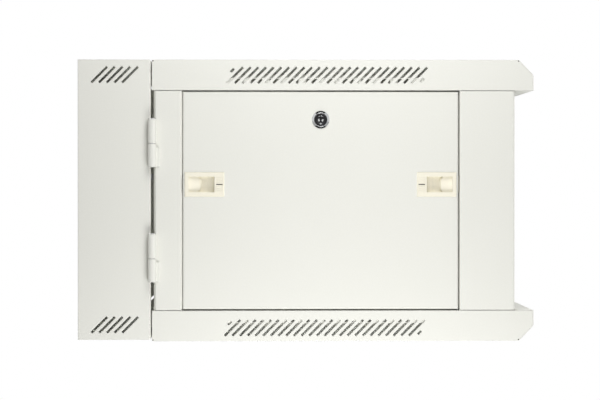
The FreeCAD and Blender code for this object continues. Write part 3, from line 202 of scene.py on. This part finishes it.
# Dark cards over and under the cabinet, seen only in its bright metal.
card_mesh = bpy.data.meshes.new("dark_card")
sheet = bmesh.new()
bmesh.ops.create_grid(sheet, x_segments=1, y_segments=1, size=CARD_HALF)
sheet.to_mesh(card_mesh)
sheet.free()
card_black = bpy.data.materials.new("card_black")
card_black.use_nodes = True
shader = card_black.node_tree.nodes["Principled BSDF"]
shader.inputs["Base Color"].default_value = (0.02, 0.02, 0.02, 1)
shader.inputs["Roughness"].default_value = 0.9
card_mesh.materials.append(card_black)
for height in (CARD_HIGH, cad_low.z - FLOOR_BELOW + CARD_OFF_FLOOR):
    card = bpy.data.objects.new("dark_card", card_mesh)
    card.matrix_world = Matrix.Translation((0, MIDDLE_Y, height))
    card.visible_camera = False
    card.visible_diffuse = False
    card.visible_shadow = False
    card.visible_transmission = False
    scene.collection.objects.link(card)


# ---- Powder-coated sheet
# The covers, wall section, posts, side panels and door frame are folded from mild steel sheet,
# welded or screwed, and coated in one light warm grey powder with a fine, even skin.
COAT_GREY = (0.777, 0.776, 0.718, 1)
COAT_LIGHT = (0.802, 0.801, 0.745, 1)
COAT_SPECK = (0.835, 0.835, 0.790, 1)
# painted highlight: the lighter tone laid along the coat's edges
COAT_EDGE_HIGHLIGHT = (0.860, 0.860, 0.820, 1)


def effect(name, inputs, outputs):
    """A node group's tree with its sockets, and its ends."""
    tree = bpy.data.node_groups.new(name, "ShaderNodeTree")
    for label, kind, value in inputs:
        tree.interface.new_socket(label, in_out="INPUT", socket_type=kind).default_value = value
    for label, kind in outputs:
        tree.interface.new_socket(label, in_out="OUTPUT", socket_type=kind)
    return tree, tree.nodes.new("NodeGroupInput"), tree.nodes.new("NodeGroupOutput")


# Fine grain of a coat, moulding or casting: two noises, one for the relief and one for the tone.
skin_grain, given, gives = effect(
    "skin_grain",
    [("Relief Scale", "NodeSocketFloat", 900.0), ("Tone Scale", "NodeSocketFloat", 12.0)],
    [("Relief", "NodeSocketFloat"), ("Tone", "NodeSocketFloat")])
place = skin_grain.nodes.new("ShaderNodeTexCoord")
relief = skin_grain.nodes.new("ShaderNodeTexNoise")
relief.inputs["Detail"].default_value = 3
relief.inputs["Roughness"].default_value = 0.55
tone = skin_grain.nodes.new("ShaderNodeTexNoise")
tone.inputs["Detail"].default_value = 5
tone.inputs["Roughness"].default_value = 0.6
skin_grain.links.new(place.outputs["Object"], relief.inputs["Vector"])
skin_grain.links.new(place.outputs["Object"], tone.inputs["Vector"])
skin_grain.links.new(given.outputs["Relief Scale"], relief.inputs["Scale"])
skin_grain.links.new(given.outputs["Tone Scale"], tone.inputs["Scale"])
skin_grain.links.new(relief.outputs["Fac"], gives.inputs["Relief"])
skin_grain.links.new(tone.outputs["Fac"], gives.inputs["Tone"])

# Edges: the turned normal gives a sheet's edge its small round, and the mask says where edges are.
soft_edge, given, gives = effect(
    "soft_edge",
    [("Radius", "NodeSocketFloat", 0.0006)],
    [("Normal", "NodeSocketVector"), ("Edge", "NodeSocketFloat")])
rounded = soft_edge.nodes.new("ShaderNodeBevel")
rounded.samples = 6
true_face = soft_edge.nodes.new("ShaderNodeNewGeometry")
turned = soft_edge.nodes.new("ShaderNodeVectorMath")
turned.operation = "DOT_PRODUCT"
away = soft_edge.nodes.new("ShaderNodeMapRange")
away.inputs["From Min"].default_value = 1.0
away.inputs["From Max"].default_value = 0.80
soft_edge.links.new(given.outputs["Radius"], rounded.inputs["Radius"])
soft_edge.links.new(rounded.outputs["Normal"], turned.inputs[0])
soft_edge.links.new(true_face.outputs["Normal"], turned.inputs[1])
soft_edge.links.new(turned.outputs["Value"], away.inputs["Value"])
soft_edge.links.new(rounded.outputs["Normal"], gives.inputs["Normal"])
soft_edge.links.new(away.outputs["Result"], gives.inputs["Edge"])

# Handling: broad faint patches where hands and cloths have been.
handling, given, gives = effect(
    "handling",
    [("Scale", "NodeSocketFloat", 3.0), ("Cover", "NodeSocketFloat", 0.5)],
    [("Mark", "NodeSocketFloat")])
place = handling.nodes.new("ShaderNodeTexCoord")
patches = handling.nodes.new("ShaderNodeTexNoise")
patches.inputs["Detail"].default_value = 7
patches.inputs["Roughness"].default_value = 0.65
patches.inputs["Distortion"].default_value = 0.6
cutoff = handling.nodes.new("ShaderNodeMapRange")
cutoff.inputs["From Max"].default_value = 0.78
handling.links.new(place.outputs["Object"], patches.inputs["Vector"])
handling.links.new(given.outputs["Scale"], patches.inputs["Scale"])
handling.links.new(given.outputs["Cover"], cutoff.inputs["From Min"])
handling.links.new(patches.outputs["Fac"], cutoff.inputs["Value"])
handling.links.new(cutoff.outputs["Result"], gives.inputs["Mark"])


def use(tree, group, **values):
    """A node group in a material, with its own values."""
    node = tree.nodes.new("ShaderNodeGroup")
    node.node_tree = group
    for label, value in values.items():
        node.inputs[label.replace("_", " ")].default_value = value
    return node


def mix_colours(tree, factor, a, b):
    node = tree.nodes.new("ShaderNodeMix")
    node.data_type = "RGBA"
    for label, colour in (("A", a), ("B", b)):
        if isinstance(colour, tuple):
            node.inputs[label].default_value = colour
        else:
            tree.links.new(colour, node.inputs[label])
    tree.links.new(factor, node.inputs["Factor"])
    return node.outputs["Result"]


def span(tree, value, low, high, start=0.0, end=1.0):
    """The value's range from start to end, spread from low to high."""
    node = tree.nodes.new("ShaderNodeMapRange")
    node.inputs["From Min"].default_value = start
    node.inputs["From Max"].default_value = end
    node.inputs["To Min"].default_value = low
    node.inputs["To Max"].default_value = high
    tree.links.new(value, node.inputs["Value"])
    return node.outputs["Result"]


def bump(tree, height, strength, distance, normal=None):
    node = tree.nodes.new("ShaderNodeBump")
    node.inputs["Strength"].default_value = strength
    node.inputs["Distance"].default_value = distance
    tree.links.new(height, node.inputs["Height"])
    if normal is not None:
        tree.links.new(normal, node.inputs["Normal"])
    return node.outputs["Normal"]


def finish_of(name):
    """A new material, its tree and its shader."""
    material = bpy.data.materials.new(name)
    material.use_nodes = True
    return material, material.node_tree, material.node_tree.nodes["Principled BSDF"]


def coated(name, fold):
    """Powder-coated steel; fold is the radius that its folds and rounds are seen with."""
    material, tree, shader = finish_of(name)
    grain = use(tree, skin_grain, Relief_Scale=1100.0, Tone_Scale=9.0)
    edge = use(tree, soft_edge, Radius=fold)
    touch = use(tree, handling, Scale=5.0, Cover=0.52)
    speck = use(tree, skin_grain, Relief_Scale=2600.0, Tone_Scale=420.0)
    tone = mix_colours(tree, grain.outputs["Tone"], COAT_GREY, COAT_LIGHT)
    tone = mix_colours(tree, span(tree, speck.outputs["Tone"], 0.0, 0.35, 0.45, 0.75), tone, COAT_SPECK)
    # Painted highlight: the coat is lightened along its edges and folds, where they catch the light.
    tone = mix_colours(tree, span(tree, edge.outputs["Edge"], 0.0, 0.25), tone, COAT_EDGE_HIGHLIGHT)
    tree.links.new(tone, shader.inputs["Base Color"])
    tree.links.new(span(tree, touch.outputs["Mark"], 0.46, 0.36), shader.inputs["Roughness"])
    relief = bump(tree, grain.outputs["Relief"], 0.25, 0.00012, edge.outputs["Normal"])
    tree.links.new(relief, shader.inputs["Normal"])
    return material


SHEET_FOLD = 0.0016
KNUCKLE_FOLD = 0.0032

powder_coat = coated("powder_coat", SHEET_FOLD)
for name in ("wall_shell", "wall_back_plate", "wall_entry_covers", "top_cover", "bottom_cover",
             "cable_entry_covers", "front_post_left", "front_post_right", "rear_post_left",
             "rear_post_right", "depth_rail_top_left", "depth_rail_top_right", "depth_rail_bottom_left",
             "depth_rail_bottom_right", "front_crossbar_top", "front_crossbar_bottom", "rear_crossbars",
             "side_panel_left", "side_panel_right", "door_frame"):
    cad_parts[name].material_slots[0].material = powder_coat

powder_coat_round = coated("powder_coat_round", KNUCKLE_FOLD)
for name in ("wall_hinge_knuckles", "body_hinge_knuckles"):
    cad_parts[name].material_slots[0].material = powder_coat_round


# ---- Zinc-plated parts
# Mounting rails, keeper, cams, bolts, nuts, pins, stud and glass clips are bare steel, stamped or
# turned, then plated: a cold grey shine with a faint crystal bloom and drawn lines.
zinc_plate, tree, shader = finish_of("zinc_plate")
bloom = use(tree, skin_grain, Relief_Scale=1500.0, Tone_Scale=60.0)
edge = use(tree, soft_edge, Radius=0.0004)
touch = use(tree, handling, Scale=18.0, Cover=0.5)
tone = mix_colours(tree, bloom.outputs["Tone"], (0.56, 0.57, 0.59, 1), (0.70, 0.71, 0.71, 1))
tone = mix_colours(tree, span(tree, touch.outputs["Mark"], 0.0, 0.5), tone, (0.62, 0.60, 0.55, 1))
# Painted highlight: the plating is lightened along its edges.
tone = mix_colours(tree, edge.outputs["Edge"], tone, (0.80, 0.80, 0.80, 1))
tree.links.new(tone, shader.inputs["Base Color"])
tree.links.new(span(tree, bloom.outputs["Tone"], 0.26, 0.44), shader.inputs["Roughness"])
shader.inputs["Metallic"].default_value = 1.0
relief = bump(tree, bloom.outputs["Relief"], 0.2, 0.00006, edge.outputs["Normal"])
tree.links.new(relief, shader.inputs["Normal"])

for name in ("mounting_rail_front_left", "mounting_rail_front_right", "mounting_rail_rear_left",
             "mounting_rail_rear_right", "rail_bolts", "frame_nuts", "swing_lock_keeper", "wall_earth_stud",
             "swing_hinge_pins", "door_hinge_pins", "door_glass_clips", "panel_lock_cam_left",
             "panel_lock_cam_right", "door_lock_cam", "swing_lock_cam"):
    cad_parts[name].material_slots[0].material = zinc_plate


# ---- Cam locks
# Each housing is a chromed zinc casting with a bevelled bezel; a dark plated plug turns in it,
# and a dark steel nut clamps it from behind.
chrome_plate, tree, shader = finish_of("chrome_plate")
scratch = use(tree, skin_grain, Relief_Scale=700.0, Tone_Scale=160.0)
edge = use(tree, soft_edge, Radius=0.0002)
tone = mix_colours(tree, scratch.outputs["Tone"], (0.50, 0.51, 0.51, 1), (0.62, 0.63, 0.63, 1))
tree.links.new(tone, shader.inputs["Base Color"])
tree.links.new(span(tree, scratch.outputs["Tone"], 0.05, 0.16), shader.inputs["Roughness"])
shader.inputs["Metallic"].default_value = 1.0
relief = bump(tree, scratch.outputs["Relief"], 0.08, 0.00004, edge.outputs["Normal"])
tree.links.new(relief, shader.inputs["Normal"])

dark_plate, tree, shader = finish_of("dark_plate")
grain = use(tree, skin_grain, Relief_Scale=1300.0, Tone_Scale=140.0)
edge = use(tree, soft_edge, Radius=0.0004)
tone = mix_colours(tree, grain.outputs["Tone"], (0.013, 0.013, 0.014, 1), (0.030, 0.030, 0.031, 1))
# Painted highlight: the dark plating is lightened along its edges.
tone = mix_colours(tree, edge.outputs["Edge"], tone, (0.14, 0.14, 0.15, 1))
tree.links.new(tone, shader.inputs["Base Color"])
tree.links.new(span(tree, grain.outputs["Tone"], 0.28, 0.42), shader.inputs["Roughness"])
shader.inputs["Metallic"].default_value = 0.8
relief = bump(tree, grain.outputs["Relief"], 0.15, 0.00005, edge.outputs["Normal"])
tree.links.new(relief, shader.inputs["Normal"])

for lock in ("panel_lock_{}_left", "panel_lock_{}_right", "door_lock_{}", "swing_lock_{}"):
    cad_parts[lock.format("plug")].material_slots[0].material = dark_plate
    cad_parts[lock.format("nut")].material_slots[0].material = dark_plate

BEZEL_RADIUS = 0.0115
BEZEL_THICK = 0.0026
CONE_INNER = 0.0092       # the bezel falls away from here to its rim
CONE_DROP = 0.0019
MOUTH_BEVEL = 0.0004
FLATS_FROM = 0.00005      # the barrel's flats start this far behind the bezel
BEZEL_STEPS = 48
RING_STEPS = 40
SHUTTER_STEPS = 12
BORE_RADIUS = 0.0084
THREAD_RADIUS = 0.0095
THREAD_DEEP = 0.00035
THREAD_PITCH = 0.0010
BARREL_FLAT = 0.00895
PLUG_BELOW_BEZEL = 0.0005
CHEEK_SWEEP = math.radians(62)
CHEEK_DROP = math.radians(20)
BROW_SWEEP = math.radians(80)
LIP_SWEEP = math.radians(30)


def spun(mesh, profile, steps, start=0.0, angle=math.tau):
    """A closed outline of (radius, height) points turned about Z, all the way or through an angle."""
    c, s = math.cos(start), math.sin(start)
    ends = [mesh.verts.new((r * c, r * s, z)) for r, z in profile]
    rim = [mesh.edges.new((a, b)) for a, b in zip(ends, ends[1:] + ends[:1])]
    full = angle == math.tau
    made = bmesh.ops.spin(mesh, geom=ends + rim, cent=(0, 0, 0), axis=(0, 0, 1), angle=angle,
                          steps=steps, use_merge=full, use_duplicate=False)
    if not full:
        far = [e for e in made["geom_last"] if isinstance(e, bmesh.types.BMEdge)]
        bmesh.ops.edgenet_fill(mesh, edges=rim)
        bmesh.ops.edgenet_fill(mesh, edges=far)
    bmesh.ops.remove_doubles(mesh, verts=mesh.verts, dist=1e-7)
    bmesh.ops.recalc_face_normals(mesh, faces=mesh.faces)


def finished(name, mesh, material, body):
    """An object made of the mesh that rides on its body, smooth but for its sharper edges."""
    data = bpy.data.meshes.new(name)
    mesh.to_mesh(data)
    mesh.free()
    data.materials.append(material)
    data.shade_smooth()
    data.set_sharp_from_angle(angle=math.radians(32))
    piece = bpy.data.objects.new(name, data)
    scene.collection.objects.link(piece)
    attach(piece, body)
    return piece


def facing(low, high, out):
    """A lock's own frame: Z out of the sheet, Y up, and its origin in the middle of its outer face."""
    up = Vector((0, 0, 1))
    turn = Matrix((up.cross(out), up, out)).transposed().to_4x4()
    middle = (low + high) / 2
    reach = abs((high - low).dot(out)) / 2
    return Matrix.Translation(middle + out * reach) @ turn


def lock_front(lock, body, plug_body, out):
    """The threaded housing with its bevelled bezel, the plug's raised ring, and the shutter's bright
    edges: a cheek each side of the key slot, a brow above them and a lip below.
    """
    low, high = (Vector(corner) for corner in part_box(lock.format("housing")))
    place = facing(low, high, Vector(out))
    barrel = abs((high - low).dot(Vector(out))) - BEZEL_THICK
    profile = [(BORE_RADIUS, -BEZEL_THICK - barrel), (BORE_RADIUS, -MOUTH_BEVEL),
               (BORE_RADIUS + MOUTH_BEVEL, 0), (CONE_INNER, 0), (BEZEL_RADIUS, -CONE_DROP),
               (BEZEL_RADIUS, -BEZEL_THICK)]
    for k in range(int(barrel / THREAD_PITCH)):
        depth = -BEZEL_THICK - k * THREAD_PITCH
        profile += [(THREAD_RADIUS, depth - 0.0001), (THREAD_RADIUS - THREAD_DEEP, depth - THREAD_PITCH / 2)]
    profile.append((THREAD_RADIUS - THREAD_DEEP, -BEZEL_THICK - barrel))
    mesh = bmesh.new()
    spun(mesh, profile, BEZEL_STEPS)
    behind = [v for v in mesh.verts if v.co.z < -BEZEL_THICK - FLATS_FROM]
    for v in behind:
        v.co.y = max(-BARREL_FLAT, min(BARREL_FLAT, v.co.y))
    mesh.transform(place)
    housing = finished(lock.format("front"), mesh, chrome_plate, body)
    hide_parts(lock.format("housing"))

    face = -PLUG_BELOW_BEZEL
    dish = [(0.0079, face - 0.0001), (0.0078, face + 0.00025), (0.0072, face + 0.00042),
            (0.0062, face + 0.00034), (0.0052, face + 0.00015), (0.0046, face), (0.0045, face - 0.0001)]
    mesh = bmesh.new()
    spun(mesh, dish, RING_STEPS)
    mesh.transform(place)
    finished(lock.format("key_ring"), mesh, dark_plate, plug_body)

    cheek = [(0.0014, face - 0.0001), (0.0014, face + 0.0002), (0.0025, face + 0.00032),
             (0.0036, face + 0.0002), (0.0037, face - 0.0001)]
    brow = [(0.0046, face - 0.0001), (0.0047, face + 0.0003),
            (0.0051, face + 0.0003), (0.0052, face - 0.0001)]
    lip = [(0.0047, face - 0.0001), (0.0048, face + 0.0003),
           (0.0060, face + 0.0003), (0.0061, face - 0.0001)]
    mesh = bmesh.new()
    for outline, middle, sweep in ((cheek, -CHEEK_DROP, CHEEK_SWEEP),
                                   (cheek, math.pi + CHEEK_DROP, CHEEK_SWEEP),
                                   (brow, math.pi / 2, BROW_SWEEP),
                                   (lip, -math.pi / 2, LIP_SWEEP)):
        spun(mesh, outline, SHUTTER_STEPS, middle - sweep / 2, sweep)
    mesh.transform(place)
    finished(lock.format("key_shutter"), mesh, chrome_plate, plug_body)


lock_front("panel_lock_{}_left", "panel_left", "panel_lock_left", (-1, 0, 0))
lock_front("panel_lock_{}_right", "panel_right", "panel_lock_right", (1, 0, 0))
lock_front("door_lock_{}", "front_door", "door_lock", (0, -1, 0))
lock_front("swing_lock_{}", "main_body", "swing_lock", (1, 0, 0))


# ---- Slide latches
# Housing and slider are moulded in ivory plastic and pushed into the side panel from outside;
# the slider's dished thumb pad carries a fine moulded grain.
ivory_moulding, tree, shader = finish_of("ivory_moulding")
grain = use(tree, skin_grain, Relief_Scale=1700.0, Tone_Scale=55.0)
edge = use(tree, soft_edge, Radius=0.0005)
touch = use(tree, handling, Scale=40.0, Cover=0.5)
tone = mix_colours(tree, grain.outputs["Tone"], (0.87, 0.83, 0.69, 1), (0.92, 0.88, 0.75, 1))
# Painted highlight: the moulding is lightened along its edges.
tone = mix_colours(tree, span(tree, edge.outputs["Edge"], 0.0, 0.4), tone, (0.96, 0.94, 0.85, 1))
tree.links.new(tone, shader.inputs["Base Color"])
tree.links.new(span(tree, touch.outputs["Mark"], 0.42, 0.30), shader.inputs["Roughness"])
shader.inputs["IOR"].default_value = 1.49
relief = bump(tree, grain.outputs["Relief"], 0.2, 0.00008, edge.outputs["Normal"])
tree.links.new(relief, shader.inputs["Normal"])

for name in ("latch_housings_left", "latch_housings_right", "latch_slider_front_left",
             "latch_slider_rear_left", "latch_slider_front_right", "latch_slider_rear_right"):
    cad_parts[name].material_slots[0].material = ivory_moulding


RIB_LENGTH = 0.0092
RIB_WIDE = 0.0007
RIB_PROUD = 0.0003
RIB_STEP = 0.0028
MARK_IN = 0.0455          # mark's middle from the bezel's outer end
MARK_LONG = 0.0083
MARK_HIGH = 0.0012
MARK_SUNK = 0.0002
MARK_THICK = 0.0004
MARK_SOFT = 0.0001
RIB_PLACES = (-3, -2, -1, 1, 2, 3)

# Nearly black: the dashes on the latch pads, and painted shade for the inside of the covers' corner relief
# holes.
dark_dash_and_hole_shade, tree, shader = finish_of("dark_dash_and_hole_shade")
grain = use(tree, skin_grain, Relief_Scale=1500.0, Tone_Scale=220.0)
tone = mix_colours(tree, grain.outputs["Tone"], (0.075, 0.070, 0.062, 1), (0.125, 0.118, 0.104, 1))
tree.links.new(tone, shader.inputs["Base Color"])
tree.links.new(span(tree, grain.outputs["Tone"], 0.45, 0.65), shader.inputs["Roughness"])
tree.links.new(bump(tree, grain.outputs["Relief"], 0.2, 0.00006), shader.inputs["Normal"])


def bar(mesh, place, size, soft):
    """A small block with softened edges."""
    stretched = Matrix.Translation(place) @ Matrix.Diagonal((*size, 1))
    made = bmesh.ops.create_cube(mesh, size=1.0, matrix=stretched)
    edges = {e for v in made["verts"] for e in v.link_edges}
    bmesh.ops.bevel(mesh, geom=list(edges), offset=soft, offset_type="OFFSET", affect="EDGES",
                    segments=2, profile=0.5, material=-1)


for side, out in (("left", -1), ("right", 1)):
    low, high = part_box(f"latch_housings_{side}")
    face = low[0] if out < 0 else high[0]
    middle = (low[2] + high[2]) / 2
    ribs, marks = bmesh.new(), bmesh.new()
    for y in (low[1] + MARK_IN, high[1] - MARK_IN):
        for step in RIB_PLACES:
            bar(ribs, (face + out * RIB_PROUD / 2, y, middle + step * RIB_STEP),
                (RIB_PROUD, RIB_LENGTH, RIB_WIDE), RIB_PROUD * 0.4)
        bar(marks, (face - out * (MARK_SUNK + MARK_THICK / 2), y, middle),
            (MARK_THICK, MARK_LONG, MARK_HIGH), MARK_SOFT)
    finished(f"latch_pad_ribs_{side}", ribs, ivory_moulding, f"panel_{side}")
    finished(f"latch_pad_marks_{side}", marks, dark_dash_and_hole_shade, f"panel_{side}")


# ---- Corner reliefs
# Where a cover's side flange, top and ends are folded from one sheet, a small punched hole keeps the corner
# from tearing. The hole is not cut: at each end of the side faces' long edges a nearly black disc, laid just
# proud of the face, is painted shade for its inside.
RELIEF_RADIUS = 0.0009
RELIEF_IN = 0.0016        # from the cover's outer face
RELIEF_REAR = 0.0015      # from the covers' rear edge
RELIEF_FRONT = 0.0200     # from the front lip
RELIEF_PROUD = 0.00003

for level, up in (("top", 1), ("bottom", -1)):
    low, high = (Vector(corner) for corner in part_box(f"{level}_cover"))
    height = high.z - RELIEF_IN if up > 0 else low.z + RELIEF_IN
    dots = bmesh.new()
    for x, out in ((low.x, -1), (high.x, 1)):
        for y in (low.y + RELIEF_FRONT, high.y - RELIEF_REAR):
            place = Matrix.Translation((x + out * RELIEF_PROUD, y, height))
            place = place @ Matrix.Rotation(out * math.pi / 2, 4, "Y")
            made = bmesh.ops.create_circle(
                dots, cap_ends=True, radius=RELIEF_RADIUS, segments=20, matrix=place)
            disc = list({f for v in made["verts"] for f in v.link_faces})
            bmesh.ops.inset_region(
                dots, faces=disc, thickness=RELIEF_RADIUS * 0.3, depth=-RELIEF_PROUD * 0.5)
    bmesh.ops.recalc_face_normals(dots, faces=dots.faces)
    finished(f"{level}_corner_relief_shade", dots, dark_dash_and_hole_shade, "main_body")


# ---- Door glass, its seal and the hinge bushes
# A sheet of lightly tinted tempered glass lies on a flat black rubber strip in the door frame;
# black plastic bushes in the crossbars carry the door's pins.
tinted_glass, tree, shader = finish_of("tinted_glass")
smear = use(tree, handling, Scale=7.0, Cover=0.48)
tone = mix_colours(tree, smear.outputs["Mark"], (0.80, 0.86, 0.84, 1), (0.84, 0.88, 0.87, 1))
tree.links.new(tone, shader.inputs["Base Color"])
tree.links.new(span(tree, smear.outputs["Mark"], 0.01, 0.07), shader.inputs["Roughness"])
shader.inputs["IOR"].default_value = 1.52
shader.inputs["Transmission Weight"].default_value = 1.0
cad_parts["door_glass"].material_slots[0].material = tinted_glass

black_rubber, tree, shader = finish_of("black_rubber")
grain = use(tree, skin_grain, Relief_Scale=1400.0, Tone_Scale=80.0)
tone = mix_colours(tree, grain.outputs["Tone"], (0.018, 0.018, 0.018, 1), (0.034, 0.033, 0.032, 1))
tree.links.new(tone, shader.inputs["Base Color"])
tree.links.new(span(tree, grain.outputs["Tone"], 0.62, 0.82), shader.inputs["Roughness"])
tree.links.new(bump(tree, grain.outputs["Relief"], 0.3, 0.0001), shader.inputs["Normal"])
for name in ("door_glass_seal", "door_hinge_bushes"):
    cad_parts[name].material_slots[0].material = black_rubber
